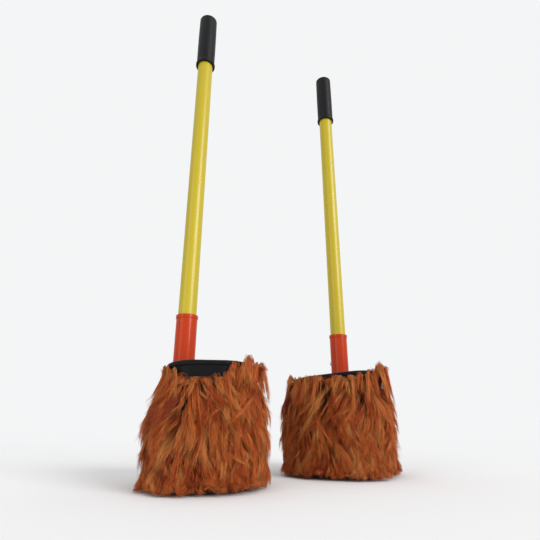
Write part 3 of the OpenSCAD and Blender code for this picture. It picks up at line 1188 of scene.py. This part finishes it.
    def paths(self, rng: np.random.Generator, own: Locks, free: Array, strand: Strand) -> tuple[Array, Array]:
        """Middle lines of the hairs.

        With t from root 0 to tip 1, a hair's height is its root's less fall * t^1.25, plus
        rise * sin(pi arch t). Its offset goes from the backing to lift * reach by 1 - (1 - t)^bow, plus
        curl * t^3. Its sideways way is lean * fall * t^1.2, gather * t^1.4 and a slow wave. The hairs of a
        lock start over a small field and close up to the tip by a factor that falls with t^0.8.

        Args:
            rng: Random draws.
            own: The lock of each hair, in upright columns.
            free: True for the hairs that leave their lock.
            strand: How the hairs grow.

        Returns:
            Points from root to tip for each hair, and the outward heading at each point.
        """
        each = free.shape
        angle = rng.uniform(0.0, TURN, each)
        spot = own.field * np.sqrt(rng.uniform(0.0, 1.0, each))
        layer = rng.normal(0.0, strand.layer, each)
        bend = rng.normal(0.0, strand.bend, each) * np.where(free, strand.free_bend, 1.0)
        crimp = rng.normal(0.0, strand.crimp, each) * np.where(free, strand.free_crimp, 1.0)
        fall = own.fall * (1.0 + rng.normal(0.0, strand.uneven, each))
        t = np.linspace(0.0, 1.0, strand.rings + 1)[None, :]
        close = 1.0 - np.where(free, strand.free_closing, rng.uniform(*strand.closing, each)) * t ** 0.8
        start = own.height + strand.spot[1] * spot * np.sin(angle)
        root = np.clip(start, self.hem, self.head - 1 * MM) - own.height
        height = own.height + root * close - fall * t ** 1.25
        height = height + own.rise * np.sin(np.pi * own.arch * np.minimum(t * 1.1, 1.0))
        height = np.maximum(height, self.ground)
        sideways = strand.spot[0] * spot * np.cos(angle) * close + own.lean * fall * t ** 1.2
        sideways = sideways + own.gather * t ** 1.4 + own.wave * t * np.sin(1.6 * np.pi * t + own.phase)
        sideways = sideways + bend * t ** 2 + crimp * np.sin(3 * np.pi * t)
        share = own.share + sideways / self.outline.girth
        skin = self.gap + self.cloth - self.rooted
        out = self.reach(share, height) * own.lift + layer * close
        offset = skin + np.maximum(out - skin, 1.0 * MM) * (1.0 - (1.0 - t) ** own.bow)
        offset = np.maximum(offset + own.curl * t ** 3, skin)
        return self.outline.point(share, offset, height), self.outline.heading(share)

    def hairs(self, rng: np.random.Generator, locks: Locks, strand: Strand) -> Surface:
        """Grows the hairs of some locks: each is a three-sided spike of some rings and a tip round its path.

        Args:
            rng: Random draws.
            locks: The locks.
            strand: How the hairs grow.

        Returns:
            The closed spikes with their map, in the shared frame.
        """
        own = locks.taken(np.repeat(np.arange(len(locks)), strand.hairs)[:, None])
        count, rings = len(own), strand.rings
        each = (count, 1)
        free = rng.uniform(0.0, 1.0, each) < strand.loose
        path, heading = self.paths(rng, own, free, strand)
        way = unit(np.gradient(path, axis=1))
        beside = np.stack([-np.sin(heading), np.cos(heading), np.zeros_like(heading)], axis=-1)
        beside = unit(beside - way * np.sum(way * beside, axis=-1, keepdims=True))
        across = np.cross(way, beside)
        spin = (rng.uniform(0.0, TURN, each) + TURN / 3 * np.arange(3))[:, None, :, None]
        thick = strand.girth * rng.uniform(*strand.stout, each) * np.interp(np.arange(rings) / rings, *TAPER)
        ring = np.cos(spin) * beside[:, :-1, None, :] + np.sin(spin) * across[:, :-1, None, :]
        shaft = path[:, :-1, None, :] + thick[:, :, None, None] * ring
        points = np.concatenate([shaft.reshape(count, 3 * rings, 3), path[:, -1:, :]], axis=1)
        faces, places = self.spike(rings)
        # Hairs that leave their lock are paler: painted light shining through them.
        tone = np.clip(own.tone + rng.normal(0.0, strand.shade, each) + strand.free_shade * free, 0.0, 0.999)
        uv = np.empty((count, *places.shape))
        uv[..., 0] = (np.floor(tone * PILE_TONES)[:, :, None] + places[None, ..., 0]) / PILE_TONES
        uv[..., 1] = places[None, ..., 1]
        numbers = faces[None, :, :] + (3 * rings + 1) * np.arange(count)[:, None, None]
        return Surface(
            self.stance.placed(points.reshape(-1, 3)), [numbers.reshape(-1, 3)], uv.reshape(-1, 2))

    @staticmethod
    def spike(rings: int) -> tuple[Array, Array]:
        """Triangles of one hair: a root cap, bands of six between its rings, and three to the tip.

        Args:
            rings: Rings of the hair.

        Returns:
            Vertex numbers, and the place of each corner in the map as column share and way to the tip.
        """
        grid = np.meshgrid(np.arange(rings - 1), np.arange(3), indexing="ij")
        j, k = (axis.reshape(-1, 1) for axis in grid)
        here, beside = 3 * j + k, 3 * j + (k + 1) % 3
        bands = np.concatenate([
            np.hstack([here, beside, beside + 3]), np.hstack([here, beside + 3, here + 3])])
        k = np.arange(3)[:, None]
        last = 3 * rings - 3
        tips = np.hstack([last + k, last + (k + 1) % 3, np.full_like(k, last + 3)])
        faces = np.concatenate([[[0, 2, 1]], bands, tips])
        way = np.linspace(0.02, 0.98, rings + 1)[np.minimum(faces // 3, rings)]
        side = (faces % 3).astype(float)
        wraps = (side == 0) & (side.max(axis=1, keepdims=True) == 2)
        margin, step = 0.06, 0.29
        across = margin + step * np.where(wraps, 3.0, side)
        across[-3:, 2] = across[-3:, :2].mean(axis=1)
        return faces, np.stack([across, way], axis=-1)

    def coats(self, rng: np.random.Generator) -> Iterator[tuple[str, Locks, Strand]]:
        """The pile's bands in order, each drawn when it is asked for.

        Args:
            rng: Random draws, which the hairs of a band use before the next band does.

        Returns:
            Name, locks and hairs of each band.
        """
        waves = self.make_waves(rng)
        locks = self.make_locks(rng, waves)
        for name, band in zip(PILE_BANDS, np.array_split(np.arange(len(locks)), len(PILE_BANDS))):
            yield name, locks.taken(band), self.coat
        yield "edge_pile", self.make_fringe(rng, waves), self.fringe
        yield "under_pile", self.make_undercoat(rng), self.under
        yield "wisp_pile", self.make_wisps(rng, waves), self.wisp

    def build(self, foam: Piece, finishes: Finishes) -> list[Piece]:
        """Makes the backing and the pile, the pile in bands up the sleeve.

        Args:
            foam: The foam block that the sleeve is stretched over; not used.
            finishes: The finishes.

        Returns:
            The pieces, backing first.
        """
        rng = np.random.default_rng(self.lay.seed)
        flip = self.stance.mirrored
        pile = [
            self.hairs(rng, locks, strand).to_object(self.side.named(name), finishes.brown_fur, flip)
            for name, locks, strand in self.coats(rng)]
        backing = self.backing().to_object(self.side.named("pile_backing"), finishes.backing, flip)
        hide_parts(self.side.named("fur_cover"))
        girth = self.outline.girth - TURN * (self.outline.pile - self.gap - self.cloth / 2)
        pieces = [backing, *pile]
        return pieces


@dataclass
class HandGrip:
    """Foam grip at the pole's head: a turned sleeve with soft lips and a collar at its foot.

    Attributes:
        side: The stilt.
        wall: Radius of the sleeve's body.
        bore: Radius of its bore.
        collar: How far the collar stands out.
        collar_height: Height of the collar.
        collar_flat: Share of that height below its slope.
        lip: Radius of the rounded ends.
        swell: How far the body swells at its middle.
        columns: Points round the sleeve.
    """

    side: Side
    wall: float = 19.5 * MM
    bore: float = 16.1 * MM
    collar: float = 1.6 * MM
    collar_height: float = 8 * MM
    collar_flat: float = 0.62
    lip: float = 1.4 * MM
    swell: float = 0.35 * MM
    columns: int = 72

    def profile(self, foot: float, head: float) -> Array:
        """Closed outline of the sleeve in radius and height.

        Going up the outside: a quarter round at the foot, the collar, a half cosine down to the body, the
        body with a half sine of swell, and a quarter round at the head. Then down the bore.

        Args:
            foot: Lowest height.
            head: Highest height.

        Returns:
            Rows of radius and height.
        """
        turn = np.linspace(0.0, np.pi / 2, 6)
        low = np.column_stack([
            self.wall + self.collar - self.lip + self.lip * np.sin(turn),
            foot + self.lip - self.lip * np.cos(turn)])
        t = np.linspace(0.0, 1.0, 9)
        neck = np.column_stack([
            self.wall + self.collar * (1 + np.cos(np.pi * t)) / 2,
            foot + self.collar_height * (self.collar_flat + (1 - self.collar_flat) * t)])
        u = np.linspace(0.0, 1.0, 25)[1:]
        top = head - self.lip
        body = np.column_stack([
            self.wall + self.swell * np.sin(np.pi * u),
            foot + self.collar_height + (top - foot - self.collar_height) * u])
        end = np.column_stack([
            self.wall - self.lip + self.lip * np.cos(turn[1:]), top + self.lip * np.sin(turn[1:])])
        bore = np.column_stack([np.full(14, self.bore), np.linspace(head, foot, 14)])
        return np.concatenate([low, neck, body, end, bore])

    def build(self, finishes: Finishes) -> Piece:
        """Turns the profile about the pole's axis.

        Args:
            finishes: The finishes.

        Returns:
            The padded piece.
        """
        node = self.side.named("grip")
        low, high = (np.array(corner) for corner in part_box(node))
        axis = (low + high) / 2
        profile = self.profile(float(low[2]), float(high[2]))
        turn = TURN * np.arange(self.columns) / self.columns
        points = np.stack(np.broadcast_arrays(
            axis[0] + profile[:, :1] * np.cos(turn), axis[1] + profile[:, :1] * np.sin(turn),
            profile[:, 1:]), axis=-1)
        surface = Surface(points.reshape(-1, 3), [band_faces(len(profile), self.columns, True)])
        piece = surface.to_object(self.side.named("foam_grip"), finishes.grip_foam)
        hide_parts(node)
        return piece


@dataclass
class LeafSpring:
    """Steel leaf in the pole's bore, bent to a U: one leg lies behind the button, the other on the far wall.

    Attributes:
        side: The stilt.
        stance: Where it stands.
        width: Width of the leaf.
        thick: Thickness of the leaf.
        edge: Radius of its rounded edges.
        near: From the pole's axis to the outside of the button's leg.
        far: From the pole's axis to the outside of the other leg.
        level: Height of the button's middle.
        rise: How far the legs reach above it.
        drop: How far the bend starts below it.
    """

    side: Side
    stance: Stance
    width: float = 8 * MM
    thick: float = 0.8 * MM
    edge: float = 0.25 * MM
    near: float = 10.95 * MM
    far: float = 13.0 * MM
    level: float = 208 * MM
    rise: float = 8 * MM
    drop: float = 34 * MM

    def surface(self) -> Surface:
        """Carries a rounded rectangle along the U: down one leg, half a circle, and up the other.

        Returns:
            The closed strip in the shared frame.
        """
        legs, bend, columns = 14, 25, 16
        down = np.linspace(self.rise, -self.drop, legs)
        turn = np.linspace(0.0, np.pi, bend)[1:-1]
        middle = (self.near - self.far) / 2
        radius = (self.near + self.far - self.thick) / 2
        angle = np.concatenate([np.zeros(legs), turn, np.full(legs, np.pi)])
        level = np.concatenate([down, np.full(bend - 2, -self.drop), down[::-1]])
        outward = np.column_stack([np.cos(angle), -np.sin(angle)])
        path = np.column_stack([np.full(len(angle), middle), level]) + radius * outward
        spin = -TURN * (np.arange(columns) + 0.5) / columns
        across = (self.width / 2 - self.edge) * np.sign(np.cos(spin)) + self.edge * np.cos(spin)
        through = (self.thick / 2 - self.edge) * np.sign(np.sin(spin)) + self.edge * np.sin(spin)
        plane = path[:, None, :] + through[None, :, None] * outward[:, None, :]
        points = np.stack(np.broadcast_arrays(
            self.stance.reach + across[None, :], plane[..., 0], self.level + plane[..., 1]), axis=-1)
        ring = np.arange(columns)
        ends = np.stack([ring[::-1], ring + columns * (len(path) - 1)])
        faces = [band_faces(len(path), columns, False), ends]
        return Surface(self.stance.placed(points.reshape(-1, 3)), faces)

    def build(self, finishes: Finishes) -> Piece:
        """Makes the spring, with one leg on the far wall and the other behind the button.

        Args:
            finishes: The finishes.

        Returns:
            The piece.
        """
        piece = self.surface().to_object(self.side.named("leaf_spring"), finishes.steel, self.stance.mirrored)
        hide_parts(self.side.named("clip_spring"))
        legs = self.stance.placed(np.array([
            (self.stance.reach, -self.far + self.thick, self.level),
            (self.stance.reach, self.near - self.thick, self.level)]))
        self.side.named("stilt")
        self.side.named("button")
        tuple(legs[0])
        tuple(legs[1])
        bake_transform(piece)
        return piece


# Assembly


@dataclass
class Stilt:
    """One stilt: finishes for its hard pieces, and its soft pieces, the grip on the stilt's body.

    Attributes:
        side: Which stilt.
        lay: How its pile lies.
        give_foot: Height at which the foam starts to give under load; not used.
        give_head: Height above which the foam goes down with the deck; not used.
    """

    side: Side
    lay: Lay
    give_foot: float = 8 * MM
    give_head: float = 46 * MM

    HARD: ClassVar[dict[str, str]] = {
        "sole_pad": "black_rubber", "foot_deck": "black_plastic", "deck_pad": "pad_rubber",
        "deck_screws": "steel", "pole_socket": "orange_plastic", "anchor_plate": "grey_plastic",
        "anchor_screw": "steel", "pole": "yellow_plastic", "grip_cap": "cap_plastic",
        "snap_button": "steel"}

    def dress(self, nodes: dict[str, Piece], finishes: Finishes) -> None:
        """Gives each hard piece its finish.

        Args:
            nodes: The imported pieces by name.
            finishes: The finishes.
        """
        for piece, finish in self.HARD.items():
            node = nodes[self.side.named(piece)]
            for slot in node.material_slots:
                slot.material = getattr(finishes, finish)
            LOG.info("%s: %s", node.name, finish)

    def build(self, finishes: Finishes) -> None:
        """Makes the foam, the fur sleeve, the grip and the spring, and sets the grip on the stilt's body.

        Args:
            finishes: The finishes.
        """
        stance = Stance.of(self.side)
        outline = FootOutline()
        foam = FoamFoot(self.side, stance, outline).build(finishes)
        fur = FurSleeve(self.side, stance, outline, self.lay).build(foam, finishes)
        for piece in [foam, *fur]:
            self.side.named("foot")
            self.side.named("stilt")
            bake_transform(piece)
        grip = HandGrip(self.side).build(finishes)
        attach(grip, self.side.named("stilt"))
        spring = LeafSpring(self.side, stance).build(finishes)
        for piece in [foam, *fur, grip, spring]:
            LOG.info("%s: %d faces", piece.name, len(piece.data.polygons))


def look_matrix(place: Array, aim: Array) -> Matrix:
    """Places a lamp or camera at a point so that it looks at another, with its top upwards.

    Args:
        place: Where it stands.
        aim: The point it looks at.

    Returns:
        The matrix, with the view along its own -Z.
    """
    back = unit(place - aim)
    right = unit(np.cross(UP, back))
    turned = np.eye(4)
    turned[:3] = np.column_stack([right, np.cross(back, right), back, place])
    return Matrix(turned.tolist())


@dataclass(frozen=True)
class SoftLight:
    """One wide soft light, so far off that it is even over the whole floor.

    Attributes:
        name: Its name.
        place: A point that it shines from.
        aim: The point that it shines at.
        spread: Angle that it fills in the sky, in degrees.
        power: Watts on a square metre that faces it.
    """

    name: str
    place: Triple
    aim: Triple
    spread: float
    power: float

    def build(self) -> None:
        """Makes the light, turned so that its back axis points away from its aim."""
        data = bpy.data.lights.new(self.name, "SUN")
        data.angle = np.radians(self.spread)
        data.energy = self.power
        lamp = add_object(self.name, data)
        lamp.matrix_world = look_matrix(np.array(self.place), np.array(self.aim))


@dataclass
class Studio:
    """Pale floor and sky, soft light and the camera.

    Attributes:
        eye: The camera's place.
        yaw: Heading of the view, from +Y towards +X, in degrees.
        pitch: How far the view looks up, in degrees.
        focus: Focal length in pixels of the picture.
        clip: Nearest and farthest that the camera sees.
        floor_radius: Radius of the floor.
        floor_sides: Sides of its outline.
        room: Colour of the light that comes from all round.
        glow: Strength of that light.
        paper: Colour of the sky that is seen, as pale as the lit floor.
        lights: The soft lights.
    """

    eye: Triple = (-0.211, -0.737, 0.100)
    yaw: float = 14.4
    pitch: float = 20.2
    focus: float = 400.0
    clip: Range = (0.01, 100.0)
    floor_radius: float = 40.0
    floor_sides: int = 96
    room: Colour = (0.97, 0.98, 1.0)
    glow: float = 0.62
    paper: Colour = (0.908, 0.914, 0.921)
    lights: tuple[SoftLight, ...] = (
        SoftLight("key_light", (3.2, -4.2, 2.8), (0.0, 0.0, 0.3), 31.0, 1.71),
        SoftLight("fill_light", (-4.2, -2.6, 2.0), (0.0, 0.0, 0.3), 34.0, 0.37),
        SoftLight("top_light", (-0.2, 1.0, 6.5), (0.0, 0.1, 0.0), 31.0, 0.25))

    def floor(self) -> Piece:
        """A wide round floor, whose far edge meets the even sky.

        Returns:
            The floor.
        """
        corners = np.arange(self.floor_sides)
        turn = TURN * corners / self.floor_sides
        points = self.floor_radius * np.column_stack([np.cos(turn), np.sin(turn), np.zeros_like(turn)])
        return Surface(points, [corners[None, :]]).to_object("pale_floor", Backdrop().build())

    def camera(self) -> None:
        """Sets the camera at the photograph's viewing angle, without shift."""
        data = bpy.data.cameras.new("camera")
        data.sensor_width = SENSOR_WIDTH
        data.lens = self.focus / FRAME_PIXELS * SENSOR_WIDTH
        data.clip_start, data.clip_end = self.clip
        yaw, pitch = np.radians(self.yaw), np.radians(self.pitch)
        view = np.array([np.sin(yaw) * np.cos(pitch), np.cos(yaw) * np.cos(pitch), np.sin(pitch)])
        camera = add_object("camera", data)
        camera.matrix_world = look_matrix(np.array(self.eye), np.array(self.eye) + view)
        bpy.context.scene.camera = camera

    def sky(self) -> bpy.types.World:
        """An even sky: one strength lights the scene, and a paler one is seen behind it and meets the floor.

        Returns:
            The world.
        """
        world = bpy.data.worlds.new("pale_room")
        world.use_nodes = True
        tree = world.node_tree
        shed = tree.nodes["Background"]
        shed.inputs["Color"].default_value = (*self.room, 1.0)
        shed.inputs["Strength"].default_value = self.glow
        seen = tree.nodes.new("ShaderNodeBackground")
        seen.inputs["Color"].default_value = (*self.paper, 1.0)
        choice = tree.nodes.new("ShaderNodeMixShader")
        seen_share = tree.nodes.new("ShaderNodeLightPath").outputs["Is Camera Ray"]
        for source, target in zip((seen_share, shed.outputs[0], seen.outputs[0]), choice.inputs):
            tree.links.new(source, target)
        tree.links.new(choice.outputs[0], tree.nodes["World Output"].inputs["Surface"])
        return world

    def build(self) -> None:
        """Sets the stage, the light and the camera."""
        scene = bpy.context.scene
        self.floor()
        for light in self.lights:
            light.build()
        scene.world = self.sky()
        scene.view_settings.view_transform = "Standard"
        scene.view_settings.exposure = 0.0
        self.camera()


def main() -> None:
    """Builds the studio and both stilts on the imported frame."""
    logging.basicConfig(level=logging.INFO, format="%(name)s: %(message)s")
    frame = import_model()
    Studio().build()
    finishes = Finishes()
    for side, lay in LAYS.items():
        stilt = Stilt(side, lay)
        stilt.dress(frame["nodes"], finishes)
        stilt.build(finishes)


if __name__ == "__main__":
    main()
